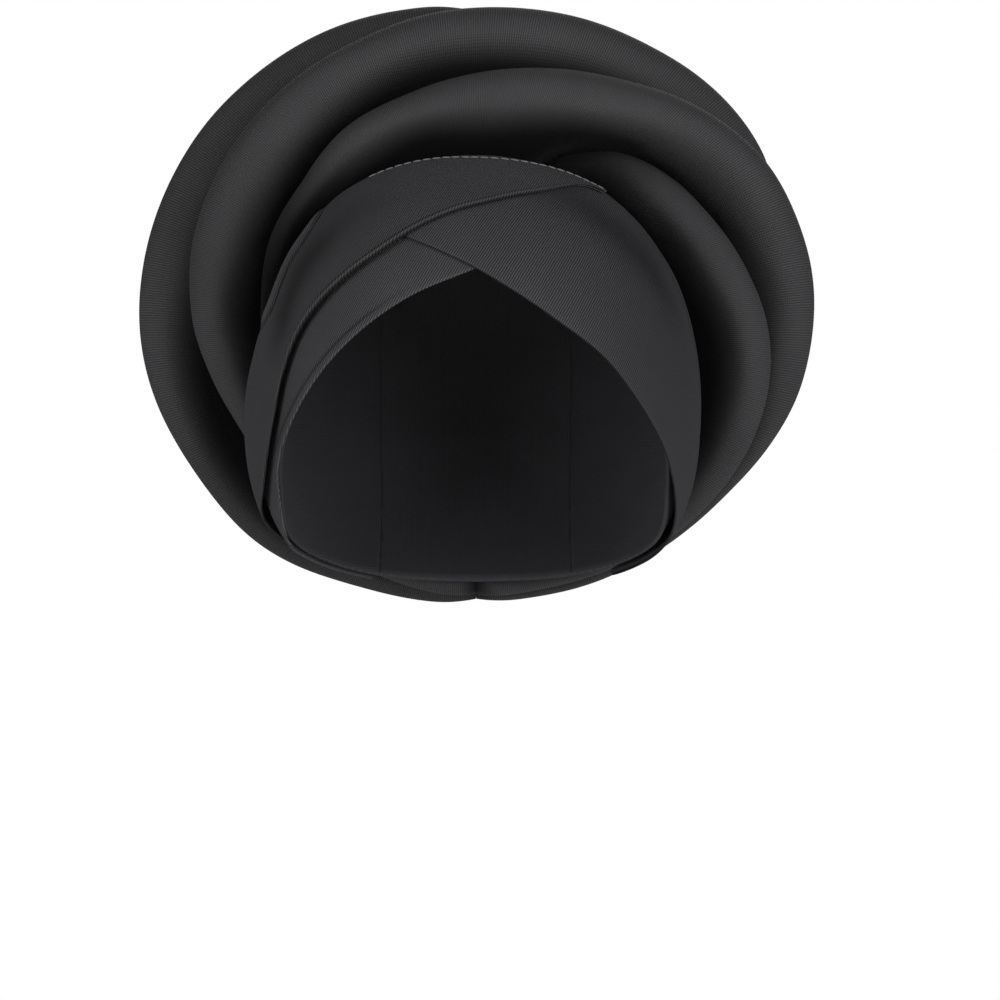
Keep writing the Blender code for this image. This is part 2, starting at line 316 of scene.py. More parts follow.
def eased(value, start, end):
    """0 before start and 1 after end, with a smooth rise between them."""
    share = min(max((value - start) / (end - start), 0), 1)
    return share * share * (3 - 2 * share)


print("halfway through a fold's soft start:", eased(0.5, 0, 1))

# %% [markdown]
# Every sheet starts as bmesh's flat grid, whose corners are then laid on the head form. Each corner
# also gets a place in the flat cloth, kept in a UV map in metres, and two numbers that say how close
# to the edge it is and how much painted shade darkens its colour. A sheet is only the outer face of
# the cloth: Solidify adds the thickness on the inside, and one level of Subdivision Surface rounds
# the folds and the cut edges.

# %% Laying a sheet
def laid_grid(lengthwise, crosswise, spot):
    """A grid laid by spot(share along, row across), which gives a place, its edge and its painted
    shade.
    """
    made = bmesh.new()
    bmesh.ops.create_grid(made, x_segments=lengthwise, y_segments=crosswise, size=1)
    rubbed = made.verts.layers.float.new("edge")
    painted_shade = made.verts.layers.float.new("painted_shade")
    for corner in made.verts:
        share, row = (corner.co.x + 1) / 2, round((corner.co.y + 1) / 2 * crosswise)
        corner.co, corner[rubbed], corner[painted_shade] = spot(share, row)
    bmesh.ops.remove_doubles(made, verts=made.verts, dist=0.01 * MM)
    return made


def face_outward(made):
    """Turns an open sheet so that its faces look away from the head."""
    made.normal_update()
    if sum(face.normal.dot(face.calc_center_median() - HEAD_CENTRE) for face in made.faces) < 0:
        bmesh.ops.reverse_faces(made, faces=made.faces)


def map_cloth(made, flat_place):
    """Gives each corner its place in the flat cloth."""
    cloth_map = made.loops.layers.uv.new("cloth")
    for face in made.faces:
        for loop in face.loops:
            loop[cloth_map].uv = flat_place(loop.vert.co)


def finished(name, made, cloth, node):
    """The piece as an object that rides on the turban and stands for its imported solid."""
    mesh = bpy.data.meshes.new(name)
    made.to_mesh(mesh)
    made.free()
    mesh.shade_smooth()
    mesh.materials.append(cloth)
    thing = bpy.data.objects.new(name, mesh)
    bpy.context.scene.collection.objects.link(thing)
    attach(thing, "root")
    if node:
        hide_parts(node)
    return thing


def add_cloth(thing, thickness, sharp=0):
    """Gives a sheet its thickness on the inside. A sharp edge stays square under subdivision."""
    wall = thing.modifiers.new("cloth", "SOLIDIFY")
    wall.thickness = thickness
    wall.offset = -1
    wall.edge_crease_inner = wall.edge_crease_outer = wall.edge_crease_rim = sharp
    smooth = thing.modifiers.new("soft_edges", "SUBSURF")
    smooth.levels = smooth.render_levels = 1


def sheet_area(thing):
    """The area of a sheet's outer face in square metres."""
    return sum(face.area for face in thing.data.polygons)


print("the cap's cloth is", CLOTH / MM, "mm thick and a layer takes", round(LAYER / MM, 2), "mm")

# %% [markdown]
# The cap is what holds the turban together. It is cut from three panels, a middle one that runs from
# the forehead over the crown to the nape, and two sides, because flat cloth can't cover a dome in
# one piece. The grid is laid over the whole dome and bisect_plane cuts it along the two seams.
# The inner side shows through the face opening, so the cap is a real shell and not a hint of one.

# %% The cap's edge and its two ways of lying flat
CAP_SEAM = 36 * MM
CAP_ROWS = 26
CAP_EDGE = (  # longitude, latitude
    (0, 33.5),
    (16, 26),
    (32, 14),
    (45, 1.5),
    (53, -8),
    (60, -19),
    (75, -28.5),
    (90, -33),
    (120, -38),
    (150, -41),
    (180, -42),
)


def cap_spot(share, row):
    """A corner of the cap's grid, on the rim at row 0 and at the crown in the last row."""
    longitude = 360 * share
    (edge,) = between_rows(CAP_EDGE, min(longitude, 360 - longitude))
    return on_head(direction(longitude, edge + (90 - edge) * row / CAP_ROWS), CLOTH), 0, 1


def strip_place(point):
    """The middle panel is cut as a strip, from the forehead over the crown to the nape."""
    back = math.atan2(point.z - HEAD_CENTRE.z, -point.y)
    return point.x, back * HEAD.y


def side_place(point):
    """A side panel is cut nearly flat, as seen from the side."""
    return point.z, point.y


print("the cap's rim has", len(CAP_EDGE), "measured places on each side")

# %% The cap's panels
for node, low, high, flat_place in (
    ("cap_middle_panel", -CAP_SEAM, CAP_SEAM, strip_place),
    ("cap_right_side", None, -CAP_SEAM, side_place),
    ("cap_left_side", CAP_SEAM, None, side_place),
):
    panel = laid_grid(120, CAP_ROWS, cap_spot)
    for seam, side in ((low, 1), (high, -1)):
        if seam is not None:
            bmesh.ops.bisect_plane(
                panel,
                geom=[*panel.verts, *panel.edges, *panel.faces],
                plane_co=(seam, 0, 0),
                plane_no=(side, 0, 0),
                clear_inner=True,
            )
    face_outward(panel)
    map_cloth(panel, flat_place)
    piece = finished(node + "_cloth", panel, cap_cloth, node)
    add_cloth(piece, CLOTH, sharp=1)
    print(piece.name, "area", round(sheet_area(piece), 4), "square metres")

# %% [markdown]
# A wrap is a long band of cloth that narrows to nothing under its neighbours. The table says, for
# each station along it, where its lower and its upper edge lie on the head. Across the band the grid
# rows are close together at both edges, where folds and hems need them, and wide in the middle.
# A relief function raises or sinks the cloth by the distance from either edge, and gives the
# painted shade there, in a crease, a soft hollow or along an edge. The painted-shade attribute holds
# one minus that shade.

# %% A place on a wrap
EDGE_STEPS = [step * MM for step in (0, 0.25, 0.6, 1, 1.4, 1.75, 2.1, 2.5, 2.9, 3.3, 3.8, 5, 7)]
NARROW = 16 * MM  # a band narrower than this has its edge folds drawn closer together
RIPPLE_LENGTH, RIPPLE_HEIGHT = 26 * MM, 0.14 * MM  # cloth drawn tight is still a little uneven


def wrap_edges(rows, share):
    """The directions of a wrap's lower and upper edge at a share of its length."""
    numbered = [(i, *direction(*row[:2]), *direction(*row[2:])) for i, row in enumerate(rows)]
    values = between_rows(numbered, share * (len(rows) - 1))
    return Vector(values[:3]), Vector(values[3:])


def wrap_width(rows, share):
    """The width of a wrap at a share of its length."""
    lower, upper = wrap_edges(rows, share)
    return (on_head(upper.normalized(), 0) - on_head(lower.normalized(), 0)).length


def on_wrap(wrap, share, low):
    """A point of a wrap's outer side, at a distance from its lower edge, and its painted shade."""
    rows, layer, relief = wrap
    lower, upper = wrap_edges(rows, share)
    width = wrap_width(rows, share)
    squeeze = min(1, width / NARROW)
    station = share * (len(rows) - 1)
    height, painted_dark = relief(station, low / squeeze / MM, (width - low) / squeeze / MM)
    way = lower.lerp(upper, low / width).normalized()
    ripple = noise.noise(on_head(way, 0) / RIPPLE_LENGTH) * RIPPLE_HEIGHT
    return on_head(way, layer * LAYER + CLOTH + height * squeeze * MM + ripple), painted_dark


def rows_across(width, middle):
    """The distances of the grid's rows from the lower edge."""
    squeeze = min(1, width / NARROW)
    steps = [step * squeeze for step in EDGE_STEPS]
    start, end = steps[-1], width - steps[-1]
    inner = [start + (end - start) * i / (middle + 1) for i in range(1, middle + 1)]
    return steps + inner + [width - step for step in reversed(steps)]


def grain_place(point):
    """The cloth is smoothed back from the forehead, and keeps its grain's direction there."""
    way = (point - HEAD_CENTRE).normalized()
    out = Vector((way.x, way.z))
    if out.length < 1e-6:
        return 0, 0
    return out.normalized() * math.acos(max(-1, min(1, -way.y))) * HEAD.y


print(2 * len(EDGE_STEPS), "rows of a wrap's grid lie near its edges")

# %% [markdown]
# Folds are drawn by their height above the band, in mm, at a distance from an edge, also in mm. Three
# small shapes are enough: the turn of a cut edge, a soft line, and a thin round fold like piping.

# %% Turns, lines and piping
EDGE_DROP, EDGE_TURN = 0.8, 0.9  # mm


def cut_edge(distance):
    """The rounded turn of a folded edge: lower at the very edge, level inwards."""
    inward = min(distance / EDGE_TURN, 1)
    return -EDGE_DROP * (1 - math.sqrt(1 - (1 - inward) ** 2))


def line_at(distance, middle, spread):
    """1 at the middle of a soft line along the cloth and 0 away from it."""
    return math.exp(-(((distance - middle) / spread) ** 2))


def piping(distance, width, height):
    """A thin round fold at an edge, as high as height in its middle."""
    across = (distance - width / 2) / (width / 2)
    return height * math.sqrt(1 - across * across) if abs(across) < 1 else 0


print("a cut edge lies", -cut_edge(0), "mm lower than the band")

# %% [markdown]
# Painted shade darkens a wrap where it lies level behind the brow, close under the rolls, where
# the rolls would keep the light off. A search tree over the imported rolls tells how close the
# nearest one is.

# %% Building a wrap
WRAP_THICKNESS = 1 * MM
RUBBED_EDGE = 2 * MM  # how far in from an edge the cloth is rubbed
DARKEST = 0.97
UNDER_ROLLS = (8, 42)  # mm from the nearest roll, from full shade to none
SAMPLES = 60


def search_tree(names):
    """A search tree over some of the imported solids."""
    places, faces = [], []
    for name in names:
        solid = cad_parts[name].data
        start = len(places)
        places += [vertex.co.copy() for vertex in solid.vertices]
        faces += [[start + i for i in polygon.vertices] for polygon in solid.polygons]
    return BVHTree.FromPolygons(places, faces)


ROLL_TREE = search_tree([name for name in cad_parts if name.endswith("roll")])


def build_wrap(name, wrap, stations, middle, cloth, node):
    rows = wrap[0]

    def spot(share, row):
        width = wrap_width(rows, share)
        low = rows_across(width, middle)[row]
        place, painted_dark = on_wrap(wrap, share, low)
        rubbed = max(0, 1 - min(low, width - low) / RUBBED_EDGE)
        # Painted shade from the relief, kept below DARKEST.
        return place, rubbed, 1 - min(painted_dark, DARKEST)

    made = laid_grid(stations, 2 * len(EDGE_STEPS) + middle - 1, spot)
    face_outward(made)
    map_cloth(made, grain_place)
    painted_shade = made.verts.layers.float["painted_shade"]
    # Painted shade: level cloth close under the rolls is darkened in colour.
    for corner in made.verts:
        level = eased(corner.normal.z, 0.3, 0.75)
        closest = ROLL_TREE.find_nearest(corner.co)[3] / MM
        corner[painted_shade] *= 1 - 0.5 * level * (1 - eased(closest, *UNDER_ROLLS))
    piece = finished(name, made, cloth, node)
    add_cloth(piece, WRAP_THICKNESS)
    shares = [i / SAMPLES for i in range(SAMPLES + 1)]
    middle_line = [on_wrap(wrap, share, wrap_width(rows, share) / 2)[0] for share in shares]
    length = sum((b - a).length for a, b in zip(middle_line, middle_line[1:]))
    widest = max(wrap_width(rows, share) for share in shares)
    area = sheet_area(piece)
    print(name, "length", round(length, 3), "widest", round(widest, 3), "area", round(area, 4))
    return piece


print("the rolls shade a wrap within", UNDER_ROLLS[1], "mm")


# %% [markdown]
# The left wrap is the lowest. Its lower edge frames the brow and has a narrow turned hem, which
# shows as a faint line about 3 mm inside the edge.

# %% Left wrap
LEFT_ROWS = (  # lower longitude, lower latitude, upper longitude, upper latitude
    (14, 36.5, 10, 47),
    (0.4, 30.3, -3, 44),
    (-15.5, 23.4, -21, 41),
    (-31.7, 11.9, -42, 29),
    (-44.7, -1, -60, 13),
    (-52.6, -10.3, -73, -1),
    (-60, -22, -88, -9),
    (-78, -33, -104, -12),
    (-105, -37.2, -117, -19),
    (-130, -40, -135, -32.5),
    (-144, -41.2, -145, -38.5),
)


def left_relief(station, low, high):
    """Height in mm and painted shade, by the row of the table and the mm from the two edges."""
    hem = eased(station, 1.8, 2.6) * (1 - eased(station, 4.2, 5.4)) * line_at(low, 3.3, 0.5)
    # The hem line is sunk a little and darkened with painted shade.
    return cut_edge(low) + cut_edge(high) - 0.45 * hem, 0.6 * hem


left_wrap = (LEFT_ROWS, 1, left_relief)
left_piece = build_wrap("left_wrap_cloth", left_wrap, 150, 14, left_cloth, "left_wrap")

# %% [markdown]
# The right wrap lies over the left one and makes the crossing above the forehead. Above the temple
# it sags into a broad soft hollow before it dives behind the rolls. Further down its rear part is
# folded back, which leaves a soft line and a strip that catches the light.

# %% Right wrap
RIGHT_ROWS = (
    (-22, 40, -26, 47),
    (-15.2, 36.9, -18, 52),
    (-7, 33.4, -4, 58),
    (0.4, 29.8, 14, 60),
    (7.8, 25.3, 34, 61),
    (17.2, 19.1, 52, 58.5),
    (27.4, 12.2, 66, 51),
    (36.5, 3.6, 78, 41),
    (46.6, -6.4, 86, 28),
    (52, -12, 91, 14),
    (60, -19, 97, 1),
    (72, -26.5, 104, -9),
    (86, -31.8, 112, -18),
    (101, -36, 119, -27),
    (116, -38.5, 127, -34),
    (130, -40, 133, -38),
)


def right_relief(station, low, high):
    folded = eased(station, 6.4, 7.4) * (1 - eased(station, 9.5, 11))
    line = line_at(high, 11, 1.1)
    strip = line_at(high, 6, 3.2)
    hollow_middle = 24 + 3 * (station - 5)
    hollow = eased(station, 3.4, 5) * (1 - eased(station, 6.2, 8)) * line_at(high, hollow_middle, 11)
    # Painted shade: a shadow along the lower edge, shade in the hollow and in the folded line, and the
    # wrap darker towards its far end.
    under = 0.8 * (1 - eased(low, 0.15, 0.6))
    height = cut_edge(low) + cut_edge(high) + folded * (0.8 * strip - 0.7 * line) - 1.1 * hollow
    return height, under + 0.5 * hollow + 0.25 * folded * line + 0.17 * eased(station, 4.5, 7)


right_wrap = (RIGHT_ROWS, 2, right_relief)
right_piece = build_wrap("right_wrap_cloth", right_wrap, 170, 18, wrap_cloth, "right_wrap")

# %% [markdown]
# The top wrap lies over both and is the one that shows its making. Along its lower edge the cloth
# is turned into a fold as thin as piping, with a groove behind it. At the upper left, where
# the wrap dives behind the rolls, the edge rolls back into a lip with a sharp crease beside it, and
# the cloth between lip and hem sinks a little, because nothing holds it up there.

# %% Top wrap
TOP_ROWS = (
    (51, 54, 54, 54.8),
    (42, 54.5, 46, 57),
    (21.7, 49.6, 27, 61),
    (6, 45.9, 3, 63.4),
    (-3.2, 43.3, -20, 62.8),
    (-13.2, 38.7, -42, 58),
    (-21.5, 33.5, -54, 52),
    (-28.2, 29.2, -59, 46),
    (-35.5, 23.6, -63, 39.5),
    (-40.7, 18, -63.3, 32),
    (-45.4, 9.2, -64.2, 24.5),
    (-48.9, 0, -69.5, 14.5),
    (-53.5, -8, -84, 4),
    (-61.5, -16, -101, -6),
    (-78, -23, -110, -14),
    (-100, -28, -118, -21),
    (-116, -31, -124, -26.5),
)


def top_relief(station, low, high):
    piped = eased(station, 1, 2.6) * (1 - eased(station, 8.5, 10.5))
    groove = eased(station, 2.2, 3.2) * (1 - eased(station, 8, 9.8)) * line_at(low, 2.35, 0.45)
    hem = piping(low, 2.1, 1.7) - 0.8 * (1 - eased(low, 1.7, 2.7))
    lip = eased(station, 5.9, 7.6) * (1 - eased(station, 9.2, 10.6))
    crease = min(1, 3 * lip) * line_at(high, 9 * lip, 1.2)
    rolled = min(1, 2 * lip) * line_at(high, 4.5 * lip, 2.6)
    sag = eased(station, 4, 6.5) * (1 - eased(station, 9, 10.5)) * line_at(high, 22, 9)
    height = piped * hem + (1 - piped) * cut_edge(low) + cut_edge(high)
    height += 0.8 * rolled - 0.8 * groove - 1.5 * crease - 1.1 * sag
    # Painted shade: a shadow along the lower edge, shade in the groove, the crease and the sag; the
    # rolled lip is lightened as a painted highlight.
    under = 0.85 * (1 - eased(low, 0.15, 0.6))
    painted_sag_shade = (0.24 + 0.4 * eased(station, 6, 7.5)) * sag
    return height, under + 0.7 * groove + 0.95 * crease + painted_sag_shade - 0.45 * rolled


top_wrap = (TOP_ROWS, 3, top_relief)
top_piece = build_wrap("top_wrap_cloth", top_wrap, 190, 36, top_cloth, "top_wrap")

# %% [markdown]
# Hand stitches hold the top wrap's upper edge to what lies under it. Each one is a short fat loop
# of thread. A small sphere, stretched along the edge, is enough for a thread under a millimetre
# thick: it is repeated many times, so it has only a few faces.

# %% Thread
THREAD_TWIST = 0.5 * MM


def thread_cloth(name, colour):
    """Matt thread, a little lighter and darker along its twist."""
    thread = bpy.data.materials.new(name)
    thread.use_nodes = True
    nodes, links = thread.node_tree.nodes, thread.node_tree.links
    shader = nodes["Principled BSDF"]
    place = nodes.new("ShaderNodeTexCoord")
    twist = nodes.new("ShaderNodeTexNoise")
    twist.inputs["Scale"].default_value = 1 / THREAD_TWIST
    links.new(place.outputs["Object"], twist.inputs["Vector"])
    spread = nodes.new("ShaderNodeMapRange")
    spread.inputs["To Min"].default_value = 0.6
    spread.inputs["To Max"].default_value = 1.3
    links.new(twist.outputs["Fac"], spread.inputs["Value"])
    dyed = nodes.new("ShaderNodeVectorMath")
    dyed.operation = "SCALE"
    dyed.inputs[0].default_value = colour
    links.new(spread.outputs["Result"], dyed.inputs["Scale"])
    links.new(dyed.outputs["Vector"], shader.inputs["Base Color"])
    bump = nodes.new("ShaderNodeBump")
    bump.inputs["Strength"].default_value = 0.5
    bump.inputs["Distance"].default_value = 0.1 * MM
    links.new(twist.outputs["Fac"], bump.inputs["Height"])
    links.new(bump.outputs["Normal"], shader.inputs["Normal"])
    shader.inputs["Roughness"].default_value = 0.7
    return thread


stitch_thread = thread_cloth("grey_stitch_thread", (0.14, 0.14, 0.145))
print("thread:", stitch_thread.name)

# %% Stitches
STITCH_STEP, STITCH_LENGTH, STITCH_WIDTH = 3.3 * MM, 3.1 * MM, 0.6 * MM
STITCH_INSET, STITCH_RISE = 1.5 * MM, 0.1 * MM
STITCH_FROM, STITCH_TO = 0.35, 5  # rows of the top wrap's table
EDGE_PLACES = 600
stitches = bmesh.new()
edge_line = []
for i in range(EDGE_PLACES + 1):
    share = (STITCH_FROM + (STITCH_TO - STITCH_FROM) * i / EDGE_PLACES) / (len(TOP_ROWS) - 1)
    width = wrap_width(TOP_ROWS, share)
    edge_line.append(on_wrap(top_wrap, share, width - min(STITCH_INSET, width / 3))[0])
walked, due, count = 0, 0, 0
for before, after in zip(edge_line, edge_line[1:]):
    walked += (after - before).length
    if walked < due:
        continue
    uneven = noise.noise(after / (4 * MM))
    due = walked + STITCH_STEP * (1 + 0.15 * uneven)
    along = (after - before).normalized()
    out = (after - HEAD_CENTRE).normalized()
    side = along.cross(out).normalized()
    lean = 0.08 + 0.25 * uneven
    bead = bmesh.ops.create_uvsphere(stitches, u_segments=6, v_segments=5, radius=0.5)["verts"]
    for corner in bead:
        x, y, z = corner.co
        corner.co = (
            after
            + (along + side * lean) * z * STITCH_LENGTH
            + side * x * STITCH_WIDTH
            + out * (y * STITCH_WIDTH + STITCH_RISE)
        )
    count += 1
bmesh.ops.recalc_face_normals(stitches, faces=stitches.faces)
stitch_piece = finished("top_wrap_stitches", stitches, stitch_thread, None)
print(count, "stitches")

# %% [markdown]
# The rolls coil round the back of the head. A place on the coil is told by its turn, in degrees, and
# by its reach, the distance from the line that the coil runs round.

# %% Turn and reach
COIL_Z = -60 * MM  # the coil runs round a line along Y at this height
NEAR_END = 5  # degrees past a table's end that are still the same end of the roll


def turn_of(point):
    """Degrees round the coil, clockwise in the picture, 0 at the nape and 180 at the crown."""
    return (270 - math.degrees(math.atan2(point.z - COIL_Z, point.x))) % 360


def turn_on_roll(point, trim):
    """The turn of a point of one roll. The nape is turn 0 or 360, whichever the roll's table has."""
    turn = turn_of(point)
    if turn < trim[0][0] - NEAR_END:
        return 360
    return 0 if turn > trim[-1][0] + NEAR_END else turn


def reach_of(point):
    """The distance of a point from the line that the coil runs round."""
    return math.hypot(point.x, point.z - COIL_Z)


print("the right of the picture is at turn", turn_of(Vector((1, 0, COIL_Z))))

# %% [markdown]
# A padded roll is a tube of cloth round soft foam. The imported roll has the right bends and the right
# flats where it presses on its neighbours, but sixteen flat sides. So a copy of it is merged, its
# triangles are joined into quads, and Subdivision Surface makes it round. Subdivision pulls a cage
# inwards, so each corner is first moved out by as much as it would lose. Pressure cloth would puff
# the flats up again and close the grooves, which is why the rolls are shaped one by one.

# %% A roll's cage
FLAT_PLUMPING, OUTER_PLUMPING = 0.7 * MM, 3.2 * MM  # the most a corner may move, inside and outside
SEWN_CREASE = 0.9


def roll_cage(node):
    """A copy of a packed roll as one closed skin of quads, with a single face on each end."""
    cage = bmesh.new()
    cage.from_mesh(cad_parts[node].data)
    bmesh.ops.remove_doubles(cage, verts=cage.verts, dist=0.01 * MM)
    bmesh.ops.join_triangles(
        cage,
        faces=cage.faces,
        angle_face_threshold=math.radians(60),
        angle_shape_threshold=math.radians(180),
    )
    turns = [turn_of(corner.co) for corner in cage.verts]
    for end in (min(turns), max(turns)):
        flat = [f for f in cage.faces if all(abs(turn_of(v.co) - end) < 0.05 for v in f.verts)]
        bmesh.ops.dissolve_faces(cage, faces=flat)
    return cage


def plump(cage, original):
    """Moves each corner out by what subdivision would still take away from its first place."""
    moves = {}
    for corner, first in zip(cage.verts, original):
        faces = corner.link_faces
        if len(faces) != 4 or any(len(face.verts) != 4 for face in faces):
            continue
        near = sum((edge.other_vert(corner).co for edge in corner.link_edges), Vector())
        ring = {edge.other_vert(corner) for edge in corner.link_edges} | {corner}
        far = sum((v.co for face in faces for v in face.verts if v not in ring), Vector())
        push = first - (16 * corner.co + 4 * near + far) / 36
        target = corner.co + push - first
        outward = Vector((first.x, 0, first.z - COIL_Z)).normalized()
        free = max(0, target.normalized().dot(outward)) ** 2
        most = FLAT_PLUMPING + (OUTER_PLUMPING - FLAT_PLUMPING) * free
        moves[corner] = first + target.normalized() * min(target.length, most)
    for corner, place in moves.items():
        corner.co = place


def hold_ends(cage):
    """Closes the flat ends on the middle of the nape, where the rolls are sewn together."""
    layers = cage.edges.layers.float
    crease = layers.get("crease_edge") or layers.new("crease_edge")
    at_nape = {v for v in cage.verts if v.co.z < COIL_Z and abs(v.co.x) < 0.5 * MM}
    for corner in at_nape:
        corner.co.x = 0
    for edge in cage.edges:
        if at_nape.issuperset(edge.verts):
            edge[crease] = SEWN_CREASE


def subdivided(cage, levels):
    """The cage after Subdivision Surface, as a new bmesh that can be shaped."""
    mesh = bpy.data.meshes.new("cage")
    cage.to_mesh(mesh)
    cage.free()
    holder = bpy.data.objects.new("cage", mesh)
    bpy.context.scene.collection.objects.link(holder)
    smooth = holder.modifiers.new("round", "SUBSURF")
    smooth.levels = smooth.render_levels = levels
    drawn = holder.evaluated_get(bpy.context.evaluated_depsgraph_get())
    rounded = bmesh.new()
    rounded.from_mesh(drawn.to_mesh())
    drawn.to_mesh_clear()
    bpy.data.objects.remove(holder)
    bpy.data.meshes.remove(mesh)
    return rounded


print("a corner moves out by", round(OUTER_PLUMPING / MM, 1), "mm at most")

# %% [markdown]
# Soft foam is never quite even, and cloth that bends round a coil has too much length on the inner
# side. So the skin gets a broad shallow waviness all over, and short creases across the roll on the
# inner side only. Where the inner roll comes out from under the front one, the cloth is pinched.

# %% The middle of the tube, and a pinch
ROWS_PER_DEGREE = 2


def ring_centres(cage):
    """The middle's reach and depth and the outer side's reach, for every half degree of turn."""
    rings = {}
    for corner in cage.verts:
        rings.setdefault(round(turn_of(corner.co) * 5), []).append(corner.co.copy())
    rows = []
    for ring in rings.values():
        count = len(ring)
        rows.append(
            (
                sum(turn_of(p) for p in ring) / count,
                sum(reach_of(p) for p in ring) / count,
                sum(p.y for p in ring) / count,
                max(reach_of(p) for p in ring),
            )
        )
    rows.sort()
    return [between_rows(rows, i / ROWS_PER_DEGREE) for i in range(360 * ROWS_PER_DEGREE + 1)]


def pinch(turn, reach, middle, spread, depth):
    """Short creases across the roll that fan out from one place on its inner side."""
    near = math.exp(-(((turn - middle) / spread) ** 2))
    inner = 1 - eased(reach / MM, 78, 90)
    return -depth * near * inner * abs(math.sin((turn - middle) * 0.9)) ** 0.6


print("a roll's middle is known at", 360 * ROWS_PER_DEGREE, "turns")

# %% [markdown]
# The painted-shade attribute is 1 on the outer half and the back of a roll. In front it falls off
# towards the head as painted shade, and it is lower still, as painted shade in the grooves, wherever
# another piece is close, which a nearest-point search on the packed solids tells. A shade table
# says, by turn, where that fall starts and ends, how close a neighbour has to be, and how bright the
# roll is painted there. A trim table lets the outer side out or takes it in, in mm by turn, as a
# maker pats a roll. A swell puffs out the back near the crown, in mm, which closes a gap between two
# rolls.

# %% Shaping a roll
WAVE_LENGTH, WAVE_HEIGHT = 34 * MM, 0.45  # the foam's broad waviness, the height in mm
CREASE_HEIGHT = 0.35  # mm
DEEPEST = 0.08  # what is left of the light where two pieces touch
SINKING = 5  # mm that the dark side sinks back in front
SWELL_TURN, SWELL_SPREAD = 200, 26


def shape_roll(rounded, rows, pinches, trim, shade, near, swell):
    rounded.normal_update()
    painted_shade = rounded.verts.layers.float.new("painted_shade")
    moves = []
    for corner in rounded.verts:
        place, turn, reach = corner.co, turn_on_roll(corner.co, trim), reach_of(corner.co)
        centre_reach, _, outer_reach = rows[round(turn * ROWS_PER_DEGREE)]
        start, end, groove, bright = between_rows(shade, turn)
        # Painted shade: the front of the roll towards the head, the grooves where other pieces are
        # close, and each turn's painted brightness darken the colour.
        in_front = 1 - eased(corner.normal.y, -0.2, 0.4)
        lit_side = 1 - eased((outer_reach - reach) / MM, start, end) * in_front
        closest = near.find_nearest(place)[3] / MM
        open_side = DEEPEST + (1 - DEEPEST) * eased(closest, 0, groove)
        corner[painted_shade] = lit_side * open_side * bright
        inner = eased(centre_reach - reach, -6 * MM, 14 * MM)
        broad = WAVE_HEIGHT * noise.noise(place / WAVE_LENGTH)
        around = Vector((turn * 0.42, place.y / (45 * MM), reach / (60 * MM)))
        creases = -CREASE_HEIGHT * inner * max(0, noise.noise(around) + 0.1)
        folds = sum(pinch(turn, reach, *each) for each in pinches)
        (let_out,) = between_rows(trim, turn)
        let_out *= eased(reach - centre_reach, -9 * MM, 13 * MM)
        outward = Vector((place.x, 0, place.z - COIL_Z)).normalized()
        move = corner.normal * (broad + creases + folds) + outward * let_out
        move.y += SINKING * (1 - lit_side) * max(0, -corner.normal.y)
        move.y += swell * line_at(turn, SWELL_TURN, SWELL_SPREAD) * eased(corner.normal.y, 0, 0.7)
        moves.append(move * MM)
    for corner, move in zip(rounded.verts, moves):
        corner.co += move


print("the foam's waviness is", WAVE_HEIGHT, "mm high")

# %% [markdown]
# The cloth of a roll runs along the coil and round the tube, so its flat place is the length along
# the coil's middle and the length round the tube. Where the way round starts again, the corners of
# one face are kept on the same side of the join.

# %% Building a roll
COIL_RADIUS, TUBE_RADIUS = 108 * MM, 25 * MM


def map_roll(rounded, rows, trim):
    """The roll's flat cloth: along the coil, and round the tube, in metres."""
    cloth_map = rounded.loops.layers.uv.new("cloth")
    for face in rounded.faces:
        first = None
        for loop in face.loops:
            place = loop.vert.co
            turn = turn_on_roll(place, trim)
            centre_reach, centre_depth, _ = rows[round(turn * ROWS_PER_DEGREE)]
            round_tube = math.atan2(place.y - centre_depth, reach_of(place) - centre_reach)
            if first is None:
                first = round_tube
            if round_tube - first > math.pi:
                round_tube -= 2 * math.pi
            if first - round_tube > math.pi:
                round_tube += 2 * math.pi
            loop[cloth_map].uv = (math.radians(turn) * COIL_RADIUS, round_tube * TUBE_RADIUS)


def build_roll(node, trim, shade, pinches=(), swell=0):
    cage = roll_cage(node)
    rows = ring_centres(cage)
    original = [corner.co.copy() for corner in cage.verts]
    for _ in range(3):
        plump(cage, original)
    hold_ends(cage)
    rounded = subdivided(cage, 2)
    near = search_tree([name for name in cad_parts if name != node])
    shape_roll(rounded, rows, pinches, trim, shade, near, swell)
    hold_ends(rounded)
    map_roll(rounded, rows, trim)
    piece = finished(node + "_padded", rounded, roll_cloth, node)
    smooth = piece.modifiers.new("soft_skin", "SUBSURF")
    smooth.levels = smooth.render_levels = 1
    print(piece.name, "faces", len(piece.data.polygons))


print("the cloth goes", round(2 * math.pi * TUBE_RADIUS / MM), "mm round a roll")

# %% [markdown]
# The back roll is the outermost one. It starts at the nape, rises on the left of the picture and
# ends at the upper right, behind the middle roll.

# %% Back roll
BACK_TRIM = (  # turn, mm let out
    (0, -1),
    (54, -1.4),
    (86, 0),
    (118, 0.9),
    (142, 1.4),
    (166, 1.9),
    (174, 2.4),
    (186, 1.2),
    (216, 0),
    (252, 0),
)
# The shade columns are painted shade: its start and end across the roll, its crease near neighbours,
# and a painted brightness.
BACK_SHADE = (  # turn, start and end in mm from the outer side, crease in mm, brightness
    (0, 3, 17, 5, 0.6),
    (60, 3, 17, 5, 0.75),
    (78, 5, 21, 5, 1),
    (92, 9, 27, 4, 1),
    (106, 12, 33, 1.5, 0.97),
    (150, 12, 33, 1.5, 0.97),
    (172, 8, 26, 4, 1),
    (252, 8, 26, 4, 1),
)
build_roll("back_roll", BACK_TRIM, BACK_SHADE)

# %% [markdown]
# The middle roll lies inside and in front of the back one, and runs on past its end down the right
# side.

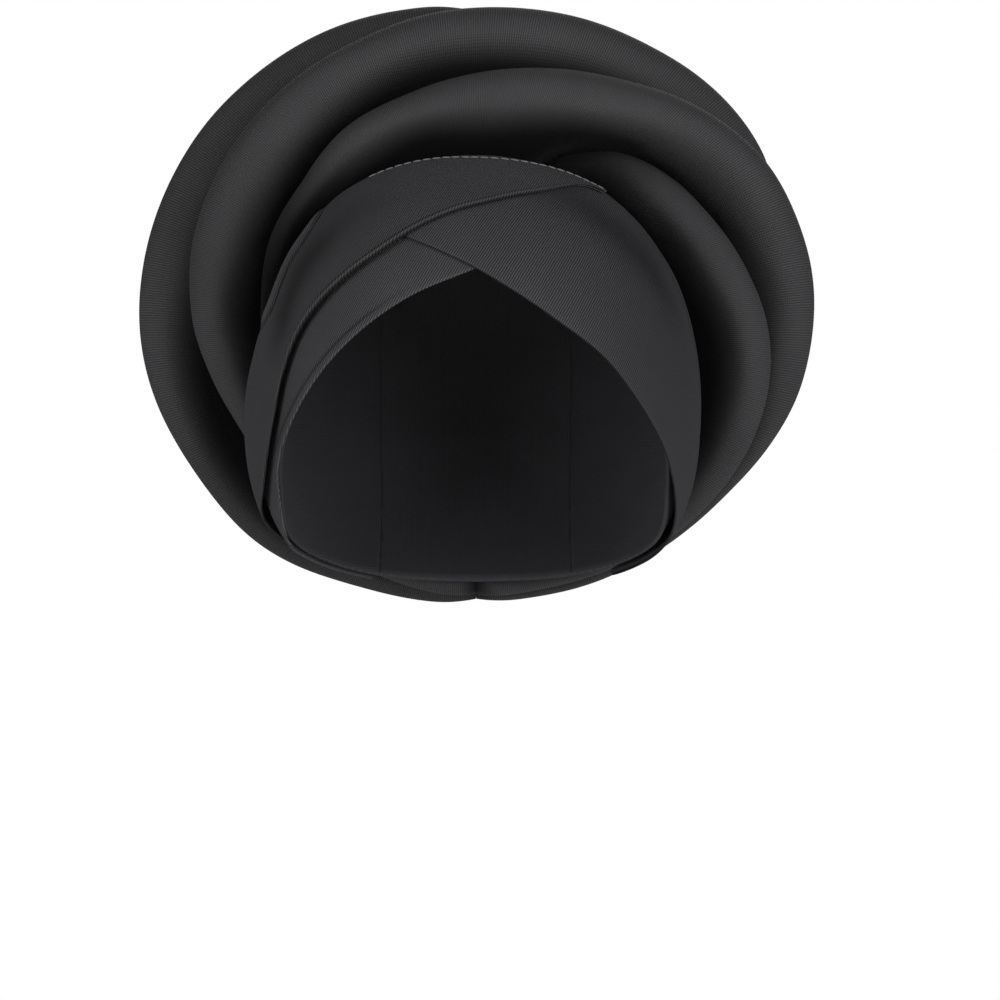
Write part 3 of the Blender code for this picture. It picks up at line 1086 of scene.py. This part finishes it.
# %% Middle roll
MIDDLE_TRIM = (
    (0, 0),
    (88, 0),
    (102, -1),
    (118, -1.9),
    (142, -2.2),
    (158, -1.4),
    (176, 0.6),
    (214, 0.8),
    (238, 0.4),
    (246, -0.8),
    (254, 0),
    (306, 0),
)
MIDDLE_SHADE = (
    (0, 4, 18, 7, 0.7),
    (60, 4, 18, 7, 0.9),
    (84, 8, 23, 7, 1),
    (98, 10, 28, 4, 1),
    (108, 11, 38, 1.5, 1),
    (132, 11, 39, 1.5, 1),
    (146, 11, 31, 1.5, 1),
    (164, 9, 25, 7, 1),
    (185, 10, 25, 8, 1),
    (215, 11, 27, 6, 1),
    (306, 12, 29, 6, 1),
)
build_roll("middle_roll", MIDDLE_TRIM, MIDDLE_SHADE)

# %% [markdown]
# The front roll starts behind the top wrap at the left, darkened there by painted shade, crosses the
# crown and goes down the whole right side to the nape. Near the crown its inner side is pinched.

# %% Front roll
FRONT_TRIM = (
    (84, -2),
    (104, -3),
    (120, -4.5),
    (130, -4.6),
    (138, -3.2),
    (148, -2.1),
    (164, -3),
    (174, -2.3),
    (184, -1.5),
    (198, -2.1),
    (212, -2.6),
    (236, -0.6),
    (262, -0.7),
    (278, -1.5),
    (294, -1.7),
    (306, -2.4),
    (330, -1.5),
    (360, -1),
)
FRONT_SHADE = (
    (84, 6, 18, 5, 0.01),
    (100, 6, 18, 5, 0.04),
    (106, 6, 18, 5, 0.07),
    (118, 7, 19, 5, 0.27),
    (131, 8, 20, 5, 0.65),
    (143, 9, 22, 7, 1),
    (164, 10, 23, 11, 1),
    (185, 14, 28, 11, 1),
    (212, 14, 29, 9, 1),
    (226, 9, 34, 1.5, 0.95),
    (254, 9, 34, 1.5, 0.95),
    (270, 10, 27, 7, 1),
    (285, 11, 25, 13, 1),
    (300, 11, 25, 13, 1),
    (360, 11, 25, 10, 0.8),
)
build_roll("front_roll", FRONT_TRIM, FRONT_SHADE, pinches=((207, 5, 0.8),), swell=5)

# %% [markdown]
# The inner roll comes out from under the front one at the crown, with its cloth pinched, and fills
# the place between it and the wraps on the right.

# %% Inner roll
INNER_TRIM = (
    (204, -1.5),
    (220, -3),
    (228, -3.9),
    (238, -5),
    (246, -5),
    (256, -3.4),
    (268, -1.2),
    (282, -0.6),
    (360, 0),
)
INNER_SHADE = (
    (204, 7, 20, 9, 0.03),
    (212, 7, 20, 9, 0.12),
    (222, 9, 25, 8, 0.4),
    (236, 13, 31, 8, 0.95),
    (256, 13, 30, 8, 1),
    (272, 9, 24, 8, 1),
    (300, 8, 22, 12, 1),
    (360, 8, 22, 10, 0.8),
)
build_roll("inner_roll", INNER_TRIM, INNER_SHADE, pinches=((214, 6, 0.7),))
